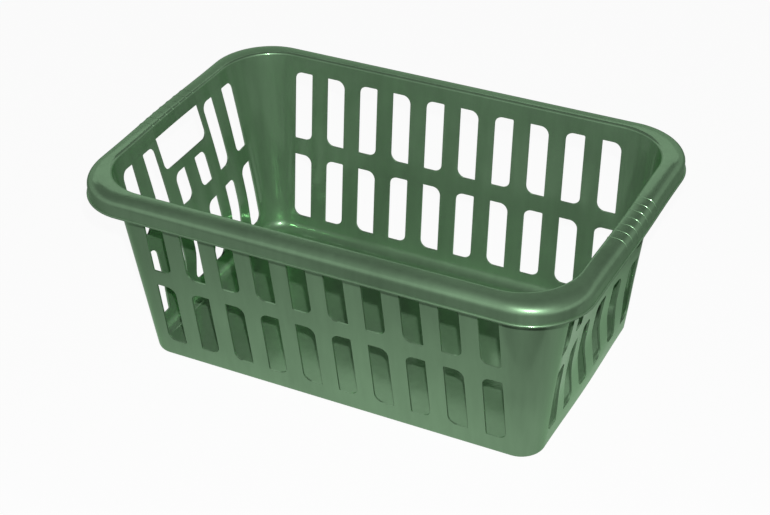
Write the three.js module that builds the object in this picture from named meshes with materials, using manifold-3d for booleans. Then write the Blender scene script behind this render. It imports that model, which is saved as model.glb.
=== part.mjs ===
// Rectangular laundry basket, injection moulded in one piece, in millimetres with +Z up.
// The origin is the centre of the base on the floor, +X runs along the length to the right end
// and -Y faces the front. The moulding is given as its natural regions: the floor pan, four
// slotted walls, four corner posts and the rolled rim, which meet face to face on flat planes.

import * as THREE from 'three';
import { mergeVertices } from 'three/addons/utils/BufferGeometryUtils.js';
import Module from 'manifold-3d';

// Body of the basket
const baseHalfLength = 240.7;
const baseHalfWidth = 142.4;
const endLean = 0.1455;
const sideLean = 0.1335;
const baseCornerRadius = 27;
const mouthCornerRadius = 66;
const endBow = 1.5;
const endDish = 10.2;
const dishHeightShare = 0.29;
const wallThickness = 2.2;
const bodyHeight = 236;

// Floor and foot
const footBand = 20;
const footLift = 1.5;
const floorThickness = 2.3;
const bottomEdgeRadius = 3;
const coveRadius = 11;
const floorPanHeight = 17;

// Rolled rim
const rimJoinDrop = 18;
const rimReach = 21.4;
const rimCornerShare = 0.2;
const rimLip = 1.5;
const rimLipHeight = 3;
const rimRollRadius = 9.5;
const rimSlope = 1.2;
const rimDrop = 24;
const rimInnerRadius = 3;

// Finger ridges and the recess of the grips
const ridgeCount = 7;
const ridgePitch = 14;
const ridgeWidth = 1.2;
const ridgeRise = 0.5;
const gripRecessDepth = 1.2;

// Slots of the walls, in two rows with a rail between them
const sideColumns = 10;
const sidePitch = 44;
const sideSlotWidth = 23.6;
const endColumns = 6;
const endPitch = 42.2;
const endSlotWidth = 22.2;
const railBelowSlots = 6.8;
const railBetweenRows = 20.2;
const railAboveSlots = 3.5;
const lowerRowShare = 0.49;
const slotRoundRadius = 10;
const slotSharpRadius = 1.5;

// Hand-holds in the end walls
const handHoldWidth = 88.5;
const handHoldHeight = 40.6;
const handHoldCornerRadius = 9;
const railBelowHandHold = 9.9;

// Heights that follow from the sizes above
const rimJoinHeight = bodyHeight - rimJoinDrop;
const lowerRowBottom = floorPanHeight + railBelowSlots;
const upperRowTop = rimJoinHeight - railAboveSlots;
const slotRoom = upperRowTop - lowerRowBottom - railBetweenRows;
const lowerRowTop = lowerRowBottom + lowerRowShare * slotRoom;
const upperRowBottom = lowerRowTop + railBetweenRows;
const handHoldBottom = rimJoinHeight - handHoldHeight;
const shortSlotTop = handHoldBottom - railBelowHandHold;
const dishHeight = floorPanHeight + dishHeightShare * (rimJoinHeight - floorPanHeight);

// Seams between neighbouring regions, and the fineness of the curves
const seamClearance = 3;
const sideSeam = (sideColumns - 1) * sidePitch / 2 + sideSlotWidth / 2 + seamClearance;
const endSeam = (endColumns - 1) * endPitch / 2 + endSlotWidth / 2 + seamClearance;
const cornerSteps = 8;
const bowSteps = 8;
const lowDishSteps = 3;
const highDishSteps = 4;
const arcSteps = 4;
const roundSteps = 4;
const farAway = 500;

const wasm = await Module();
wasm.setup();

// Meshes and solids

function toSolid(geometry) {
  const bare = geometry.clone();
  bare.deleteAttribute('normal');
  bare.deleteAttribute('uv');
  const merged = mergeVertices(bare, 1e-5);
  const mesh = new wasm.Mesh({
    numProp: 3,
    vertProperties: Float32Array.from(merged.attributes.position.array),
    triVerts: Uint32Array.from(merged.index.array),
  });
  return new wasm.Manifold(mesh);
}

function toGeometry(solid) {
  const mesh = solid.getMesh();
  const geometry = new THREE.BufferGeometry();
  geometry.setAttribute('position', new THREE.BufferAttribute(mesh.vertProperties, 3));
  geometry.setIndex(new THREE.BufferAttribute(mesh.triVerts, 1));
  return geometry;
}

function boxBetween(low, high) {
  const geometry = new THREE.BoxGeometry(high[0] - low[0], high[1] - low[1], high[2] - low[2]);
  geometry.translate((low[0] + high[0]) / 2, (low[1] + high[1]) / 2, (low[2] + high[2]) / 2);
  return toSolid(geometry);
}

// How far the middle of an end wall is set in at a height. Such a wall draws inward as it cools
// between the stiff floor and the stiff rim, most below half height and not at all at the two.

function dishAt(height) {
  if (height <= floorPanHeight || height >= rimJoinHeight) return 0;
  if (height < dishHeight) {
    const share = (height - floorPanHeight) / (dishHeight - floorPanHeight);
    return endDish * (1 - Math.cos(Math.PI * share)) / 2;
  }
  return endDish * Math.cos(Math.PI / 2 * (height - dishHeight) / (rimJoinHeight - dishHeight));
}

// Plan outline: a rounded rectangle whose sides spread and whose corners open with height.
// The short sides bow outward, most at the middle and not at all where the corners begin,
// and the dish of the end walls is taken off that. Outside the wall the corners open less.

function outline(offset, height, wallHeight = height) {
  const halfLength = baseHalfLength + endLean * wallHeight + offset;
  const halfWidth = baseHalfWidth + sideLean * wallHeight + offset;
  const opening = (mouthCornerRadius - baseCornerRadius) * wallHeight / bodyHeight;
  const widening = offset > 0 ? rimCornerShare * offset : offset;
  const radius = baseCornerRadius + opening + widening;
  const reachX = halfLength - radius;
  const reachY = halfWidth - radius;
  const dish = dishAt(wallHeight);
  const points = [];
  for (const side of [1, -1]) {
    for (let step = 1; step < bowSteps; step += 1) {
      const y = reachY * (2 * step / bowSteps - 1);
      const bow = endBow * (1 + Math.cos(Math.PI * y / reachY)) / 2;
      points.push(new THREE.Vector3(side * (halfLength + bow), side * y, height));
    }
    for (const quarter of [0, 1]) {
      const centreX = side * reachX * (quarter === 0 ? 1 : -1);
      for (let step = 0; step <= cornerSteps; step += 1) {
        const angle = (quarter + step / cornerSteps) * Math.PI / 2;
        const x = centreX + side * radius * Math.cos(angle);
        const y = side * (reachY + radius * Math.sin(angle));
        points.push(new THREE.Vector3(x, y, height));
      }
    }
  }
  for (const point of points) {
    point.x -= Math.sign(point.x) * dish * (1 + Math.cos(Math.PI * point.y / halfWidth)) / 2;
  }
  return points;
}

// A skin through successive outlines. An open run is capped by flat fans at both ends,
// and a closed run joins its last outline to its first.

function loft(rings, closed) {
  const count = rings[0].length;
  const points = rings.flat();
  const index = [];
  const spans = closed ? rings.length : rings.length - 1;
  for (let row = 0; row < spans; row += 1) {
    const lower = row * count;
    const upper = ((row + 1) % rings.length) * count;
    for (let column = 0; column < count; column += 1) {
      const next = (column + 1) % count;
      index.push(lower + column, lower + next, upper + next);
      index.push(lower + column, upper + next, upper + column);
    }
  }
  if (!closed) {
    const first = points.length;
    points.push(new THREE.Vector3(0, 0, rings[0][0].z));
    points.push(new THREE.Vector3(0, 0, rings[rings.length - 1][0].z));
    const top = (rings.length - 1) * count;
    for (let column = 0; column < count; column += 1) {
      const next = (column + 1) % count;
      index.push(first, next, column);
      index.push(first + 1, top + column, top + next);
    }
  }
  const geometry = new THREE.BufferGeometry().setFromPoints(points);
  geometry.setIndex(index);
  return toSolid(geometry);
}

// Points of a quarter turn from one corner of a profile to the next, about the given centre
function arc(centreOffset, centreHeight, radius, from, to) {
  return Array.from({ length: arcSteps + 1 }, (_, step) => {
    const angle = (from + (to - from) * step / arcSteps) * Math.PI / 180;
    return [centreOffset + radius * Math.cos(angle), centreHeight + radius * Math.sin(angle)];
  });
}

// Floor and walls as one skin, from the middle of the underside, out over the foot,
// up the outside, down the inside and back across the floor

function bodySkin() {
  const floorTop = footLift + floorThickness;
  const lowSpan = (dishHeight - floorPanHeight) / lowDishSteps;
  const highSpan = (rimJoinHeight - dishHeight) / highDishSteps;
  const heights = [
    ...Array.from({ length: lowDishSteps }, (_, step) => floorPanHeight + step * lowSpan),
    ...Array.from({ length: highDishSteps + 1 }, (_, step) => dishHeight + step * highSpan),
  ];
  const profile = [
    [-footBand - footLift, footLift],
    [-footBand, 0],
    ...arc(-bottomEdgeRadius, bottomEdgeRadius, bottomEdgeRadius, -90, 0),
    ...heights.map((height) => [0, height]),
    ...heights.toReversed().map((height) => [-wallThickness, height]),
    ...arc(-wallThickness - coveRadius, floorTop + coveRadius, coveRadius, 0, -90),
  ];
  return loft(profile.map(([offset, height]) => outline(offset, height)), false);
}

// Slots and hand-holds. Two corners on one diagonal of a slot are round and two are nearly
// square, and the diagonal changes from each slot to the next like a chequerboard.

function slotShape(width, bottom, top, radii) {
  const half = width / 2;
  const corners = [[-half, top, 1, -1], [half, top, -1, -1], [half, bottom, -1, 1], [-half, bottom, 1, 1]];
  const points = corners.flatMap(([x, z, inwardX, inwardZ], number) => {
    const radius = radii[number];
    const steps = radius < slotRoundRadius / 2 ? 1 : roundSteps;
    return Array.from({ length: steps + 1 }, (_, step) => {
      const angle = Math.PI - (number + step / steps) * Math.PI / 2;
      const centreX = x + inwardX * radius;
      const centreZ = z + inwardZ * radius;
      return new THREE.Vector2(centreX + radius * Math.cos(angle), centreZ + radius * Math.sin(angle));
    });
  });
  return new THREE.Shape(points.reverse());
}

function cutter(shape, alongX, shift) {
  const options = { depth: 2 * farAway, bevelEnabled: false };
  const geometry = new THREE.ExtrudeGeometry(shape, options);
  geometry.translate(shift, 0, -farAway);
  geometry.rotateX(Math.PI / 2);
  if (alongX) geometry.rotateZ(Math.PI / 2);
  return toSolid(geometry);
}

function diagonalRadii(roundTopLeft) {
  const round = slotRoundRadius;
  const sharp = slotSharpRadius;
  return roundTopLeft ? [round, sharp, round, sharp] : [sharp, round, sharp, round];
}

function wallCutters() {
  const cutters = [];
  for (let column = 0; column < sideColumns; column += 1) {
    const shift = (column - (sideColumns - 1) / 2) * sidePitch;
    const even = column % 2 === 0;
    const upper = slotShape(sideSlotWidth, upperRowBottom, upperRowTop, diagonalRadii(even));
    const lower = slotShape(sideSlotWidth, lowerRowBottom, lowerRowTop, diagonalRadii(!even));
    cutters.push(cutter(upper, false, shift), cutter(lower, false, shift));
  }
  for (let column = 0; column < endColumns; column += 1) {
    const shift = (column - (endColumns - 1) / 2) * endPitch;
    const even = column % 2 === 0;
    const underHandHold = Math.abs(shift) < endPitch;
    const top = underHandHold ? shortSlotTop : upperRowTop;
    const upper = slotShape(endSlotWidth, upperRowBottom, top, diagonalRadii(even));
    const lower = slotShape(endSlotWidth, lowerRowBottom, lowerRowTop, diagonalRadii(!even));
    cutters.push(cutter(upper, true, shift), cutter(lower, true, shift));
  }
  const corner = handHoldCornerRadius;
  const above = rimJoinHeight + corner;
  const radii = [slotSharpRadius, slotSharpRadius, corner, corner];
  cutters.push(cutter(slotShape(handHoldWidth, handHoldBottom, above, radii), true, 0));
  return cutters;
}

// The rim: the wall turns out over a nearly flat band, rolls down into a skirt and ends in a
// small lip, and stays open underneath. Offsets past the wall are taken at one height, so the
// skirt stands upright while the wall below leans.

const rimWallTop = bodyHeight - rimInnerRadius;
const bandEnd = rimReach - rimLip - rimRollRadius;
const rollHeight = bodyHeight - rimSlope - rimRollRadius;
const lipBottom = bodyHeight - rimDrop;

function rimRing([offset, height, wallHeight = rimWallTop]) {
  return outline(offset, height, wallHeight);
}

// The show face of the rim from its inner edge to the top of the lip, set out by an amount
function rimFace(rise) {
  const innerCentre = -wallThickness + rimInnerRadius;
  return [
    ...arc(innerCentre, rimWallTop, rimInnerRadius + rise, 180, 90),
    [bandEnd / 2, bodyHeight - rimSlope / 3 + rise],
    ...arc(bandEnd, rollHeight, rimRollRadius + rise, 90, 0),
    [rimReach - rimLip + rise, lipBottom + rimLipHeight + rimLip],
  ];
}

function rimSkin() {
  const skirtInside = rimReach - rimLip - wallThickness;
  const underside = bodyHeight - rimSlope - wallThickness;
  const profile = [
    [-wallThickness, rimJoinHeight, rimJoinHeight],
    ...rimFace(0),
    [rimReach, lipBottom + rimLipHeight],
    [rimReach, lipBottom],
    [skirtInside, lipBottom],
    ...arc(bandEnd, rollHeight, rimRollRadius - wallThickness, 0, 90),
    [rimInnerRadius, underside],
    [0, underside - rimInnerRadius],
    [0, rimJoinHeight, rimJoinHeight],
  ];
  return loft(profile.map(rimRing).reverse(), true);
}

// Raised lines across the rim over each hand-hold
function ridges() {
  const outside = rimFace(ridgeRise);
  const inside = rimFace(-wallThickness / 2).reverse();
  const band = loft([...outside, ...inside].map(rimRing).reverse(), true);
  const slabs = Array.from({ length: ridgeCount }, (_, number) => {
    const y = (number - (ridgeCount - 1) / 2) * ridgePitch;
    const low = [-farAway, y - ridgeWidth / 2, rimJoinHeight];
    return boxBetween(low, [farAway, y + ridgeWidth / 2, farAway]);
  });
  return band.intersect(slabs.reduce((sum, slab) => sum.add(slab)));
}

// A thin upright layer of the rim's wall between two offsets, as wide as the hand-hold
function gripLayer(from, to) {
  const corners = [
    [from, rimJoinHeight, rimJoinHeight],
    [from, rimWallTop - rimInnerRadius],
    [to, rimWallTop - rimInnerRadius],
    [to, rimJoinHeight, rimJoinHeight],
  ];
  const layer = loft(corners.map(rimRing), true);
  const half = handHoldWidth / 2;
  return layer.intersect(boxBetween([-farAway, -half, 0], [farAway, half, farAway]));
}

// Regions of the moulding

const body = wallCutters().reduce((rest, tool) => rest.subtract(tool), bodySkin());
const rim = rimSkin()
  .add(gripLayer(gripRecessDepth, -wallThickness / 2))
  .subtract(gripLayer(gripRecessDepth - wallThickness, -2 * wallThickness))
  .add(ridges());

const plastic = new THREE.MeshStandardMaterial({
  color: 0x6b8f6c,
  roughness: 0.38,
  metalness: 0.1,
});

const basket = new THREE.Group();

function addRegion(name, source, low, high) {
  const geometry = toGeometry(source.intersect(boxBetween(low, high)));
  geometry.computeVertexNormals();
  const mesh = new THREE.Mesh(geometry, plastic.clone());
  mesh.name = name;
  basket.add(mesh);
}

const sides = [['front', -1], ['back', 1]];
const ends = [['left', -1], ['right', 1]];

// Interval from a seam outward, or the mirrored one on the negative side
function beyond(seam, sign) {
  return sign > 0 ? [seam, farAway] : [-farAway, -seam];
}

addRegion('floor_pan', body, [-farAway, -farAway, -farAway], [farAway, farAway, floorPanHeight]);
for (const [side, signY] of sides) {
  const [nearY, farY] = beyond(0, signY);
  addRegion(`${side}_wall`, body, [-sideSeam, nearY, floorPanHeight], [sideSeam, farY, farAway]);
  addRegion(`${side}_rim`, rim, [-sideSeam, nearY, 0], [sideSeam, farY, farAway]);
}
for (const [end, signX] of ends) {
  const [nearX, farX] = beyond(sideSeam, signX);
  addRegion(`${end}_end_wall`, body, [nearX, -endSeam, floorPanHeight], [farX, endSeam, farAway]);
  addRegion(`${end}_hand_grip`, rim, [nearX, -endSeam, 0], [farX, endSeam, farAway]);
  for (const [side, signY] of sides) {
    const [nearY, farY] = beyond(endSeam, signY);
    const name = `${side}_${end}`;
    addRegion(`${name}_post`, body, [nearX, nearY, floorPanHeight], [farX, farY, farAway]);
    addRegion(`${name}_rim_corner`, rim, [nearX, nearY, 0], [farX, farY, farAway]);
  }
}

export default basket;
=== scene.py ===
import math

import bmesh
import bpy
from mathutils import Matrix, Vector


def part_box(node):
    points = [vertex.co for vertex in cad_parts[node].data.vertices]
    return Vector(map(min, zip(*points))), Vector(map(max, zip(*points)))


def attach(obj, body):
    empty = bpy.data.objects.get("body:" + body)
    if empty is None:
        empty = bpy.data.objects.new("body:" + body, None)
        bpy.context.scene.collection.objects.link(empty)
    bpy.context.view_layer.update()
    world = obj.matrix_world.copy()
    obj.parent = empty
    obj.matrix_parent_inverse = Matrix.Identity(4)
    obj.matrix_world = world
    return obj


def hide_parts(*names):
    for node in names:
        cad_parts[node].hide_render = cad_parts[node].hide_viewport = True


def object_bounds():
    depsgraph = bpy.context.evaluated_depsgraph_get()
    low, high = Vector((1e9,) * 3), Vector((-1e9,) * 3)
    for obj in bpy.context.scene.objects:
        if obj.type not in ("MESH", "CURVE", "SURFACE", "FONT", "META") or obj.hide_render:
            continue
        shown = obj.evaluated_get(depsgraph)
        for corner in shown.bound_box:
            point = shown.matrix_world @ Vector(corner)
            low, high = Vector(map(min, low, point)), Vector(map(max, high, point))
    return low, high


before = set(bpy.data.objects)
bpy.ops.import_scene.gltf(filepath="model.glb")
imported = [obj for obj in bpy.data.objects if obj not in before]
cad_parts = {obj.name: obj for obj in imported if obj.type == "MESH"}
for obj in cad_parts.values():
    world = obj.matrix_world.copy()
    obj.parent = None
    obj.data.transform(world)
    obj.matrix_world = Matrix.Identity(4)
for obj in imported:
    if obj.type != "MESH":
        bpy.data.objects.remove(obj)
cad_low, cad_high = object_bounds()

# The pearl green plastic of the whole basket.
# Polypropylene with a fine pearl pigment, moulded in one shot. It has a soft satin sheen, faint
# streaks where the melt ran up the walls, and a skin that is never quite flat.

class Wire:
    """A socket of a material's nodes, so that maths on it reads as an expression."""

    def __init__(self, nodes, socket):
        self.nodes = nodes
        self.socket = socket

    def node(self, kind, settings=None, **values):
        made = self.nodes.nodes.new(kind)
        for name, value in (settings or {}).items():
            if name == "stops":
                for number, (place, colour) in enumerate(value):
                    ramp = made.color_ramp.elements
                    stop = ramp[number] if number < len(ramp) else ramp.new(place)
                    stop.position = place
                    stop.color = colour
            else:
                setattr(made, name, value)
        for name, value in values.items():
            key = int(name[1:]) if name[1:].isdigit() else name.replace("_", " ")
            if isinstance(value, Wire):
                self.nodes.links.new(value.socket, made.inputs[key])
            else:
                made.inputs[key].default_value = value
        return made

    def out(self, kind, output=0, settings=None, **values):
        return Wire(self.nodes, self.node(kind, settings, **values).outputs[output])

    def maths(self, operation, *values):
        numbered = {f"i{number}": value for number, value in enumerate(values)}
        return self.out("ShaderNodeMath", 0, {"operation": operation}, **numbered)

    def __add__(self, other):
        return self.maths("ADD", self, other)

    def __radd__(self, other):
        return self.maths("ADD", other, self)

    def __sub__(self, other):
        return self.maths("SUBTRACT", self, other)

    def __rsub__(self, other):
        return self.maths("SUBTRACT", other, self)

    def __mul__(self, other):
        return self.maths("MULTIPLY", self, other)

    def __rmul__(self, other):
        return self.maths("MULTIPLY", other, self)


plastic = bpy.data.materials.new("pearl_green_plastic")
plastic.use_nodes = True
plastic_nodes = plastic.node_tree
plastic_shader = plastic_nodes.nodes["Principled BSDF"]
place = Wire(plastic_nodes, plastic_nodes.nodes.new("ShaderNodeTexCoord").outputs["Object"])

clouds = place.out("ShaderNodeTexNoise", "Fac", Vector=place, Scale=9.0, Detail=2.0, Roughness=0.5)
stretched = place.out("ShaderNodeMapping", 0, Vector=place, Scale=(120.0, 120.0, 2.2))
streaks = place.out("ShaderNodeTexNoise", "Fac", Vector=stretched,
                    Scale=1.0, Detail=3.0, Roughness=0.6)
ripple = place.out("ShaderNodeTexNoise", "Fac", Vector=place, Scale=28.0, Detail=1.0, Roughness=0.4)
grain = place.out("ShaderNodeTexNoise", "Fac", Vector=place, Scale=900.0, Detail=2.0, Roughness=0.6)

height = place.out("ShaderNodeSeparateXYZ", 2, Vector=place)
# Painted light: the colour turns paler towards the base, standing in for the light that the white table
# throws up onto the lower walls.
painted_table_bounce = place.out("ShaderNodeMapRange", 0, {"interpolation_type": "SMOOTHSTEP"}, Value=height,
                       From_Min=0.0, From_Max=0.11, To_Min=0.10, To_Max=0.0)
tone = 0.50 * clouds + 0.50 * streaks + painted_table_bounce
green = tone.out(
    "ShaderNodeValToRGB", 0,
    {"stops": [(0.30, (0.142, 0.236, 0.142, 1.0)), (0.70, (0.202, 0.332, 0.202, 1.0))]}, Fac=tone)
sheen = 0.07 + 0.07 * clouds + 0.05 * streaks
skin = ripple.out("ShaderNodeBump", 0, Strength=0.25, Distance=0.0006, Height=ripple + 0.5 * clouds)
skin = skin.out("ShaderNodeBump", 0, Strength=0.12, Distance=0.00005, Height=grain, Normal=skin)
plastic_nodes.links.new(green.socket, plastic_shader.inputs["Base Color"])
plastic_nodes.links.new(sheen.socket, plastic_shader.inputs["Roughness"])
plastic_nodes.links.new(skin.socket, plastic_shader.inputs["Normal"])
plastic_shader.inputs["Metallic"].default_value = 0.45
plastic_shader.inputs["IOR"].default_value = 1.35
plastic_shader.inputs["Specular Tint"].default_value = (0.60, 1.0, 0.60, 1.0)
pearl = green.node(
    "ShaderNodeBsdfPrincipled", Base_Color=(0.44, 0.74, 0.44, 1.0), Metallic=1.0, Roughness=0.43,
    Specular_Tint=(0.60, 1.0, 0.60, 1.0), Normal=skin)
pearl_share = 0.13 + 0.22 * clouds
both = green.out("ShaderNodeMixShader", 0, i0=pearl_share,
                 i1=Wire(plastic_nodes, plastic_shader.outputs[0]),
                 i2=Wire(plastic_nodes, pearl.outputs[0]))
plastic_nodes.links.new(both.socket, plastic_nodes.nodes["Material Output"].inputs["Surface"])

# The skin of the body: floor, cove, walls and corners.
# One wall section is turned round each corner's upright axis and run on along the sides, which
# gives the real corner: a cone that is tight at the base and wide at the mouth.

CORNER_STEPS = 24
MIRRORS = ("X", "Y")

wall = 0.0022
base_length, base_width = 0.2407, 0.1424
base_corner, corner_growth = 0.027, 0.039 / 0.236
end_lean, side_lean = 0.1455, 0.1335
end_bow, end_dish, dish_share = 0.0015, 0.0102, 0.29
foot_band, foot_lift, floor_plate = 0.020, 0.0015, 0.0023
bottom_edge, cove = 0.003, 0.011
join_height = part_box("front_wall")[1].z
pan_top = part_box("floor_pan")[1].z
side_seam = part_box("front_wall")[1].x
end_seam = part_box("left_end_wall")[1].y
dish_height = pan_top + dish_share * (join_height - pan_top)
wall_cuts = 24
arc_step = 0.0012
merge = 1e-6
long_edge = 0.1
side_stations = (0.0, 0.1)
body_stations = [number * 0.0125 for number in range(9)]


def corner_radius(height):
    return base_corner + corner_growth * height


def section(points):
    """A face in the XZ plane through the given (radius, height, rounding) corners, rounded."""
    mesh = bmesh.new()
    corners = [(mesh.verts.new((radius, 0.0, height)), rounding) for radius, height, rounding in points]
    mesh.faces.new([vert for vert, rounding in corners])
    for vert, rounding in corners:
        if rounding > 0.0:
            bmesh.ops.bevel(
                mesh, geom=[vert], offset=rounding, offset_type="ABSOLUTE", affect="VERTICES",
                segments=max(3, round(rounding / arc_step)), profile=0.5, material=-1)
    return mesh


def dish_at(height):
    """How far the middle of an end wall has drawn inward at a height, as the moulding cooled."""
    if height <= pan_top or height >= join_height:
        return 0.0
    if height < dish_height:
        share = (height - pan_top) / (dish_height - pan_top)
        return end_dish * (1.0 - math.cos(math.pi * share)) / 2.0
    return end_dish * math.cos(math.pi / 2 * (height - dish_height) / (join_height - dish_height))


def run_on(mesh, edges, axis, stations):
    """Extrudes the section's edges along a side, through the stations, to the middle plane."""
    for station in sorted(stations, reverse=True):
        made = bmesh.ops.extrude_edge_only(mesh, edges=edges)["geom"]
        edges = [part for part in made if isinstance(part, bmesh.types.BMEdge)]
        for vert in [part for part in made if isinstance(part, bmesh.types.BMVert)]:
            vert.co[axis] = station


def basket_ring(mesh, edges, stations, set_out=None, lean_height=None):
    """Turns the edges round a corner, runs them on along half an end and half a side, and mirrors.

    The two layers say how far a point's corner centre is set out, and at what height the wall's
    lean is taken for it. Without them the point belongs to the wall at its own height.
    """
    verts = list(dict.fromkeys(vert for edge in edges for vert in edge.verts))
    turned = bmesh.ops.spin(
        mesh, geom=edges + verts, cent=(0, 0, 0), axis=(0, 0, 1), angle=math.pi / 2,
        steps=CORNER_STEPS, use_merge=False, use_duplicate=False)
    last = [part for part in turned["geom_last"] if isinstance(part, bmesh.types.BMEdge)]
    for vert in mesh.verts:
        height = vert[lean_height] if lean_height else vert.co.z
        centre = (vert[set_out] if set_out else 0.0) - corner_radius(height)
        vert.co.x += base_length + end_lean * height + centre
        vert.co.y += base_width + side_lean * height + centre
    run_on(mesh, edges, 1, stations)
    run_on(mesh, last, 0, side_stations)
    for vert in mesh.verts:
        half_width = base_width + side_lean * vert.co.z
        reach = half_width - corner_radius(vert.co.z)
        if vert.co.x > base_length - base_corner and vert.co.y < reach:
            vert.co.x += end_bow * (1.0 + math.cos(math.pi * vert.co.y / reach)) / 2.0
        off_middle = min(1.0, vert.co.y / half_width)
        vert.co.x -= dish_at(vert.co.z) * (1.0 + math.cos(math.pi * off_middle)) / 2.0
    for axis in MIRRORS:
        bmesh.ops.mirror(mesh, geom=mesh.verts[:] + mesh.edges[:] + mesh.faces[:],
                         matrix=Matrix.Identity(4), merge_dist=merge, axis=axis)
    bmesh.ops.remove_doubles(mesh, verts=mesh.verts, dist=merge)


def set_down(mesh, name):
    """An object of the mesh, with all its faces turned outward."""
    bmesh.ops.recalc_face_normals(mesh, faces=mesh.faces)
    data = bpy.data.meshes.new(name)
    mesh.to_mesh(data)
    mesh.free()
    made = bpy.data.objects.new(name, data)
    bpy.context.scene.collection.objects.link(made)
    return made


floor_top = foot_lift + floor_plate
inner_radius = base_corner - foot_band - foot_lift
foot_radius = base_corner - foot_band
body = section([
    (inner_radius, foot_lift, 0.0),
    (foot_radius, 0.0, 0.0),
    (base_corner, 0.0, bottom_edge),
    (corner_radius(join_height), join_height, 0.0),
    (corner_radius(join_height) - wall, join_height, 0.0),
    (corner_radius(floor_top) - wall, floor_top, cove),
    (inner_radius, floor_top, 0.0),
])
bmesh.ops.delete(body, geom=body.faces[:], context="FACES_ONLY")
middle = [edge for edge in body.edges if all(vert.co.x < inner_radius + 1e-5 for vert in edge.verts)]
bmesh.ops.delete(body, geom=middle, context="EDGES")
bmesh.ops.subdivide_edges(
    body, edges=[edge for edge in body.edges if edge.calc_length() > long_edge], cuts=wall_cuts)
basket_ring(body, body.edges[:], body_stations)
rims = [edge for edge in body.edges if edge.is_boundary]
bmesh.ops.holes_fill(body, edges=rims, sides=0)
body_shell = set_down(body, "body_shell")

# The slots and hand-holds of the walls.
# The mould's blocks leave them straight through. Two corners on one diagonal of a slot are round
# and two are nearly square, and the diagonal changes from slot to slot like a chequerboard.

side_columns, side_pitch, side_slot = 10, 0.044, 0.0236
end_columns, end_pitch, end_slot = 6, 0.0422, 0.0222
rail_below, rail_between, rail_above = 0.0068, 0.0202, 0.0035
lower_share = 0.49
round_corner, square_corner = 0.010, 0.0015
hand_hold_width, hand_hold_height = 0.0885, 0.0406
hand_hold_corner = 0.009
rail_below_hand_hold = 0.0099
block_reach, block_overshoot = 0.4, 0.01
round_steps, square_steps, large_radius = 8, 4, 0.004
slot_edge, slot_angle = 0.00045, 0.9
join_margin = 1e-4

lower_low = pan_top + rail_below
upper_high = join_height - rail_above
slot_room = upper_high - lower_low - rail_between
lower_high = lower_low + lower_share * slot_room
upper_low = lower_high + rail_between
hand_hold_low = join_height - hand_hold_height
short_high = hand_hold_low - rail_below_hand_hold


def block(mesh, across, shift, width, low, high, radii):
    """One block of the mould, run right through the basket. Radii go round from the top left."""
    made = bmesh.ops.create_cube(mesh, size=1.0)["verts"]
    sized = Matrix.Diagonal((width, 2 * block_reach, high - low, 1.0))
    bmesh.ops.transform(mesh, matrix=sized, verts=made)
    corners = ((-1, 1), (1, 1), (1, -1), (-1, -1))
    edges = []
    for (side, level), radius in zip(corners, radii):
        ends = [vert for vert in made if vert.co.x * side > 0 and vert.co.z * level > 0]
        along = next(edge for edge in ends[0].link_edges if edge.other_vert(ends[0]) == ends[1])
        edges.append((along, radius))
    before = set(mesh.verts) - set(made)
    for edge, radius in edges:
        if radius > 0.0:
            bmesh.ops.bevel(mesh, geom=[edge], offset=radius, offset_type="OFFSET", affect="EDGES",
                            segments=round_steps if radius > large_radius else square_steps,
                            profile=0.5, material=-1)
    made = [vert for vert in mesh.verts if vert not in before]
    placed = Matrix.Translation((shift, 0.0, (low + high) / 2))
    turned = Matrix.Rotation(math.pi / 2, 4, "Z") if across else Matrix.Identity(4)
    bmesh.ops.transform(mesh, matrix=turned @ placed, verts=made)


def wall_blocks(columns, pitch, slot_width, across):
    """All the slots of the front and back walls, or of the two ends, as one cutter."""
    mesh = bmesh.new()
    for column in range(columns):
        shift = (column - (columns - 1) / 2) * pitch
        under_hand_hold = across and abs(shift) < pitch
        falling = (round_corner, square_corner) * 2
        rising = (square_corner, round_corner) * 2
        upper, lower = (falling, rising) if column % 2 == 0 else (rising, falling)
        high = short_high if under_hand_hold else upper_high
        block(mesh, across, shift, slot_width, upper_low, high, upper)
        block(mesh, across, shift, slot_width, lower_low, lower_high, lower)
    if across:
        radii = (0.0, 0.0, hand_hold_corner, hand_hold_corner)
        block(mesh, across, 0.0, hand_hold_width, hand_hold_low, join_height + block_overshoot, radii)
    return set_down(mesh, "wall_blocks")


def cut_by(target, cutter):
    """Takes the cutter out of the target, whose mesh is then plain again."""
    cutting = target.modifiers.new("cut", "BOOLEAN")
    cutting.operation, cutting.solver, cutting.object = "DIFFERENCE", "EXACT", cutter
    cut_target = target.evaluated_get(bpy.context.evaluated_depsgraph_get())
    done = bpy.data.meshes.new_from_object(cut_target)
    target.modifiers.clear()
    target.data = done
    bpy.data.objects.remove(cutter)


cut_by(body_shell, wall_blocks(side_columns, side_pitch, side_slot, False))
cut_by(body_shell, wall_blocks(end_columns, end_pitch, end_slot, True))
body = bmesh.new()
body.from_mesh(body_shell.data)
bpy.data.objects.remove(body_shell)
bmesh.ops.remove_doubles(body, verts=body.verts, dist=2e-6)
slot_lines = [edge for edge in body.edges
              if len(edge.link_faces) == 2 and edge.calc_face_angle(0.0) > slot_angle
              and pan_top < min(vert.co.z for vert in edge.verts) < join_height - join_margin]
# The clamp holds this rounding to about 0.001 mm instead of slot_edge, so the edges stay sharp.
bmesh.ops.bevel(body, geom=slot_lines, offset=slot_edge, offset_type="OFFSET", affect="EDGES",
                segments=2, profile=0.5, material=-1, clamp_overlap=True)

# The regions of the body: floor pan, four walls and four corner posts.
# In the real basket they run into one another. Each is parted from its neighbours on the same
# planes as in the frame, so that the faces meet exactly and no line shows between them.

SHARP = math.radians(50)


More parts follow.
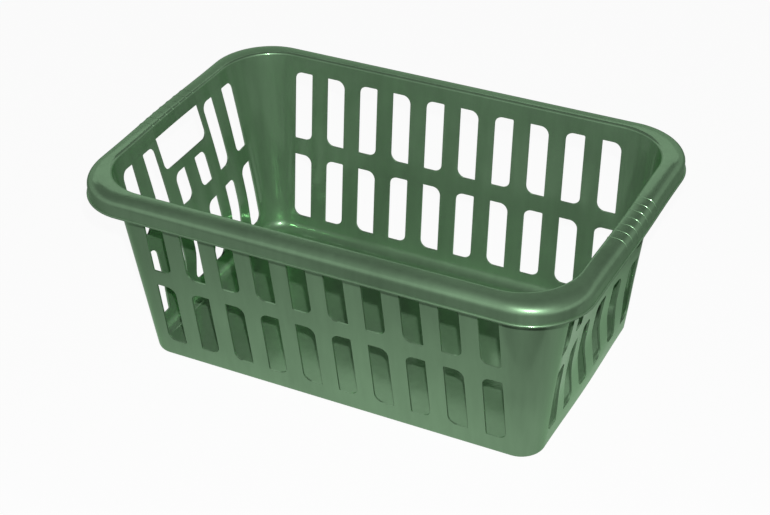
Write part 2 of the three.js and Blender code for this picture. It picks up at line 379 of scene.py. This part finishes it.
def part_off(mesh, keeps):
    """The share of the mesh on the kept side of each (point, outward direction) plane, closed."""
    share = mesh.copy()
    for point, outward in keeps:
        bmesh.ops.bisect_plane(share, geom=share.verts[:] + share.edges[:] + share.faces[:],
                               dist=merge, plane_co=point, plane_no=outward, clear_outer=True)
        opened = [edge for edge in share.edges if edge.is_boundary]
        bmesh.ops.holes_fill(share, edges=opened, sides=0)
    return share


def finish_region(mesh, node):
    """Closes a region as a piece of the basket that stands for its node."""
    made = set_down(mesh, "moulded_" + node)
    for polygon in made.data.polygons:
        polygon.use_smooth = True
    made.data.set_sharp_from_angle(angle=SHARP)
    weighted = made.modifiers.new("even_shading", "WEIGHTED_NORMAL")
    weighted.keep_sharp = True
    weighted.mode = "FACE_AREA"
    made.data.materials.append(plastic)
    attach(made, "root")
    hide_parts(node)


def plane(axis, place, facing):
    """A plane across an axis, as its point and its direction towards what is cut away."""
    point, outward = Vector(), Vector()
    point[axis], outward[axis] = place, facing
    return point, outward


def beyond(axis, place, sign):
    """Keeps what lies further out than the place, on one side of the middle."""
    return plane(axis, sign * place, -sign)


def within(axis, place):
    """Keeps what lies nearer the middle than the place."""
    return [plane(axis, place, 1), plane(axis, -place, -1)]


above_pan = plane(2, pan_top, -1)
sides = (("front", -1), ("back", 1))
ends = (("left", -1), ("right", 1))

floor_pan = body.copy()
bmesh.ops.bisect_plane(floor_pan, geom=floor_pan.verts[:] + floor_pan.edges[:] + floor_pan.faces[:],
                       dist=merge, plane_co=(0, 0, pan_top), plane_no=(0, 0, 1), clear_outer=True)
bmesh.ops.bridge_loops(floor_pan, edges=[edge for edge in floor_pan.edges if edge.is_boundary])
finish_region(floor_pan, "floor_pan")
for side, sign_y in sides:
    planes = within(0, side_seam) + [beyond(1, 0.0, sign_y), above_pan]
    finish_region(part_off(body, planes), side + "_wall")
for end, sign_x in ends:
    planes = [beyond(0, side_seam, sign_x)] + within(1, end_seam) + [above_pan]
    finish_region(part_off(body, planes), end + "_end_wall")
    for side, sign_y in sides:
        planes = [beyond(0, side_seam, sign_x), beyond(1, end_seam, sign_y), above_pan]
        finish_region(part_off(body, planes), f"{side}_{end}_post")
body.free()

# The rolled rim and the hand grips.
# The wall turns out over a nearly flat band, rolls down into a skirt with a small lip, and stays
# open below. Over each hand-hold it is set back a little and crossed by seven thin raised lines.

ridge_count, ridge_pitch = 7, 0.014
ridge_foot, ridge_crest, ridge_rise = 0.0005, 0.0002, 0.0004
rim_top = cad_high.z - ridge_rise
rim_inner, rim_outer = 0.003, 0.0105
rim_slope, rim_drop = 0.0012, 0.024
rim_reach, lip, lip_height = 0.0214, 0.0012, 0.0020
rim_corner_share = 0.2
recess_depth, recess_step = 0.0012, 0.0006
skin_margin, grip_margin, skirt_margin = 0.0005, 0.01, 0.008
upward_enough, outward_enough = 0.2, 0.5

rim_wall_top = rim_top - rim_inner
rim_corner = corner_radius(rim_wall_top)
skirt_low = rim_top - rim_drop
ridge_places = [number * ridge_pitch for number in range((ridge_count + 1) // 2)]
ridge_stations = {abs(place + shift) for place in ridge_places
                  for shift in (-ridge_foot, -ridge_crest, ridge_crest, ridge_foot)}
recess_end = hand_hold_width / 2
recess_stations = {recess_end - recess_step, recess_end + recess_step}
rim_stations = {0.0, 0.007, 0.021, 0.035, 0.060, 0.075, 0.090} | ridge_stations | recess_stations

rim = section([
    (corner_radius(join_height) - wall, join_height, 0.0),
    (corner_radius(rim_top) - wall, rim_top, rim_inner),
    (rim_corner + rim_reach / 3, rim_top - rim_slope / 4, 0.0),
    (rim_corner + rim_reach - lip, rim_top - rim_slope, rim_outer),
    (rim_corner + rim_reach - lip, skirt_low + lip_height + lip / 2, 0.0),
    (rim_corner + rim_reach, skirt_low + lip_height, 0.0009),
    (rim_corner + rim_reach, skirt_low, 0.0003),
    (rim_corner + rim_reach - lip - wall, skirt_low, 0.0004),
    (rim_corner + rim_reach - lip - wall, rim_top - rim_slope - wall, rim_outer - wall),
    (rim_corner, rim_top - rim_slope - wall, rim_inner),
    (corner_radius(join_height), join_height, 0.0),
])
bmesh.ops.delete(rim, geom=rim.faces[:], context="FACES_ONLY")
set_out = rim.verts.layers.float.new("set_out")
lean_height = rim.verts.layers.float.new("lean_height")
for vert in rim.verts:
    past_wall = max(0.0, vert.co.x - rim_corner)
    height = min(vert.co.z, rim_wall_top)
    vert[lean_height] = height + (rim_wall_top - height) * min(1.0, past_wall / rim_inner)
    vert[set_out] = (1.0 - rim_corner_share) * past_wall
    vert.co.x -= vert[set_out]
basket_ring(rim, rim.edges[:], rim_stations, set_out, lean_height)
bmesh.ops.recalc_face_normals(rim, faces=rim.faces)
rim.normal_update()
end_face = base_length + end_lean * rim_wall_top
grip_moves = []
for vert in rim.verts:
    along = abs(vert.co.y)
    if abs(vert.co.x) < end_face - grip_margin or along > recess_end + grip_margin:
        continue
    outward = math.copysign(1.0, vert.co.x)
    on_wall = abs(vert.co.x) < end_face + end_bow + skin_margin and vert.co.z < rim_wall_top
    if on_wall and along < recess_end:
        grip_moves.append((vert, Vector((outward * recess_depth, 0.0, 0.0))))
    on_roll = (vert.normal.x * outward > outward_enough
               and abs(vert.co.x) > end_face + rim_reach / 2)
    on_crest = any(abs(along - place) < ridge_crest + 1e-5 for place in ridge_places)
    above_skirt = vert.co.z > skirt_low + skirt_margin
    if on_crest and above_skirt and (vert.normal.z > upward_enough or on_roll):
        grip_moves.append((vert, vert.normal.copy() * ridge_rise))
for vert, move in grip_moves:
    vert.co += move

for side, sign_y in sides:
    planes = within(0, side_seam) + [beyond(1, 0.0, sign_y)]
    finish_region(part_off(rim, planes), side + "_rim")
for end, sign_x in ends:
    planes = [beyond(0, side_seam, sign_x)] + within(1, end_seam)
    finish_region(part_off(rim, planes), end + "_hand_grip")
    for side, sign_y in sides:
        planes = [beyond(0, side_seam, sign_x), beyond(1, end_seam, sign_y)]
        finish_region(part_off(rim, planes), f"{side}_{end}_rim_corner")
rim.free()

# The table under the basket and the white round it.
# The basket stands on a plain white sheet that runs out of sight, and keeps a faint soft shadow.
# Where the plastic mirrors them, the sheet shines most close to the basket and the room is pale
# near the horizon and dim overhead.

table_reach, table_gap = 6.0, 0.0003
table_white = bpy.data.materials.new("white_sheet")
table_white.use_nodes = True
table_nodes = table_white.node_tree
table_nodes.nodes.clear()


def seen_rays(nodes):
    """One for camera rays, and one for glossy and see-through rays."""
    camera_ray = Wire(nodes, nodes.nodes.new("ShaderNodeLightPath").outputs["Is Camera Ray"])
    paths = camera_ray.socket.node.outputs
    mirrored = camera_ray.maths("MAXIMUM", Wire(nodes, paths["Is Glossy Ray"]),
                                Wire(nodes, paths["Is Transmission Ray"]))
    return camera_ray, mirrored


camera_ray, mirrored = seen_rays(table_nodes)
matt = camera_ray.out("ShaderNodeBsdfDiffuse", 0, Color=(0.80, 0.80, 0.80, 1.0))
sheet_place = Wire(table_nodes, table_nodes.nodes.new("ShaderNodeTexCoord").outputs["Object"])
squeezed = sheet_place.out("ShaderNodeMapping", 0, Vector=sheet_place, Scale=(0.6, 1.0, 1.0))
distance = squeezed.out("ShaderNodeVectorMath", 1, {"operation": "LENGTH"}, i0=squeezed)
near_glow = distance.out("ShaderNodeMapRange", 0, Value=distance,
                         From_Min=0.15, From_Max=0.34, To_Min=0.66, To_Max=0.24)
bright = camera_ray.out("ShaderNodeEmission", 0,
                        Color=camera_ray + near_glow * mirrored, Strength=1.0)
sheet = camera_ray.out("ShaderNodeMixShader", 0, i0=0.95, i1=matt, i2=bright)
camera_ray.node("ShaderNodeOutputMaterial", Surface=sheet)

table = bmesh.new()
bmesh.ops.create_grid(table, x_segments=1, y_segments=1, size=table_reach,
                      matrix=Matrix.Translation((0.0, 0.0, -table_gap)))
table_sheet = set_down(table, "table_sheet")
table_sheet.data.materials.append(table_white)

world = bpy.data.worlds.new("white_room")
world.use_nodes = True
bpy.context.scene.world = world
room_nodes = world.node_tree
room_nodes.nodes.clear()
camera_ray, mirrored = seen_rays(room_nodes)
direction = Wire(room_nodes, room_nodes.nodes.new("ShaderNodeTexCoord").outputs["Generated"])
upward_share = direction.out("ShaderNodeSeparateXYZ", 2, Vector=direction)
horizon = upward_share.out("ShaderNodeMapRange", 0, {"interpolation_type": "SMOOTHSTEP"},
                           Value=upward_share,
                           From_Min=0.32, From_Max=0.60, To_Min=0.50, To_Max=0.02)
fill = 0.02 * (1.0 - (camera_ray + mirrored))
strength = camera_ray + mirrored * horizon + fill
room = camera_ray.out("ShaderNodeBackground", 0, Color=(1.0, 1.0, 1.0, 1.0), Strength=strength)
camera_ray.node("ShaderNodeOutputWorld", Surface=room)

# The camera, at the photograph's viewing angle, and the light that goes with it.
# A small lamp just above the lens gives the crisp shadows inside the slots. A dark card in front of
# the basket and a bright one behind it show only where the plastic mirrors them.

view_azimuth, view_elevation = math.radians(28.314), math.radians(34.181)
view_roll = math.radians(-2.053)
view_distance = 2.0493
view_target = Vector((-0.0086, 0.0002, 0.1034))
view_lens, film_width, view_shift = 84.62, 36.0, 0.0032
nearest, farthest = 0.05, 50.0

back = Vector((math.sin(view_azimuth) * math.cos(view_elevation),
               -math.cos(view_azimuth) * math.cos(view_elevation), math.sin(view_elevation)))
level = Vector((math.cos(view_azimuth), math.sin(view_azimuth), 0.0))
upward = back.cross(level)
right = level * math.cos(view_roll) + upward * math.sin(view_roll)
top = back.cross(right)

camera = bpy.data.objects.new("camera", bpy.data.cameras.new("camera"))
bpy.context.scene.collection.objects.link(camera)
camera.data.lens = view_lens
camera.data.sensor_width = film_width
camera.data.shift_x = view_shift
camera.data.clip_start, camera.data.clip_end = nearest, farthest
camera.matrix_world = Matrix.Translation(view_target + back * view_distance) @ Matrix(
    (right, top, back)).transposed().to_4x4()
bpy.context.scene.camera = camera


lamp_target = Vector((0.0, 0.0, 0.12))


def lamp(name, spot, size, power):
    """A square lamp at the spot, turned to the middle of the basket."""
    made = bpy.data.objects.new(name, bpy.data.lights.new(name, "AREA"))
    made.data.size, made.data.energy = size, power
    made.location = spot
    made.rotation_mode = "QUATERNION"
    made.rotation_quaternion = (lamp_target - spot).to_track_quat("-Z", "Y")
    bpy.context.scene.collection.objects.link(made)


def card(name, half_width, near, far, glow):
    """A card that only glossy rays meet, between two edges given as (distance behind, height)."""
    mesh = bmesh.new()
    across = Matrix.Rotation(view_azimuth, 4, "Z")
    corners = [across @ Vector((side * half_width, behind, height))
               for side, (behind, height) in ((-1, near), (1, near), (1, far), (-1, far))]
    mesh.faces.new([mesh.verts.new(corner) for corner in corners])
    made = set_down(mesh, name)
    paint = bpy.data.materials.new(name)
    paint.use_nodes = True
    surface = paint.node_tree.nodes["Principled BSDF"]
    surface.inputs["Base Color"].default_value = (0.01, 0.01, 0.01, 1.0)
    surface.inputs["Emission Color"].default_value = (1.0, 1.0, 1.0, 1.0)
    surface.inputs["Emission Strength"].default_value = glow
    made.data.materials.append(paint)
    made.visible_camera = made.visible_diffuse = made.visible_shadow = False


lamp("flash", view_target + back * 2.0 + top * 0.09 + right * 0.02, 0.02, 32.0)
card("dark_card", 1.5, (-1.6, 0.002), (-0.345, 0.002), 0.0)
card("bright_card", 0.9, (0.7, 0.57), (0.7, 0.78), 0.95)

view_settings = bpy.context.scene.view_settings
view_settings.view_transform = "Standard"

bpy.context.view_layer.update()
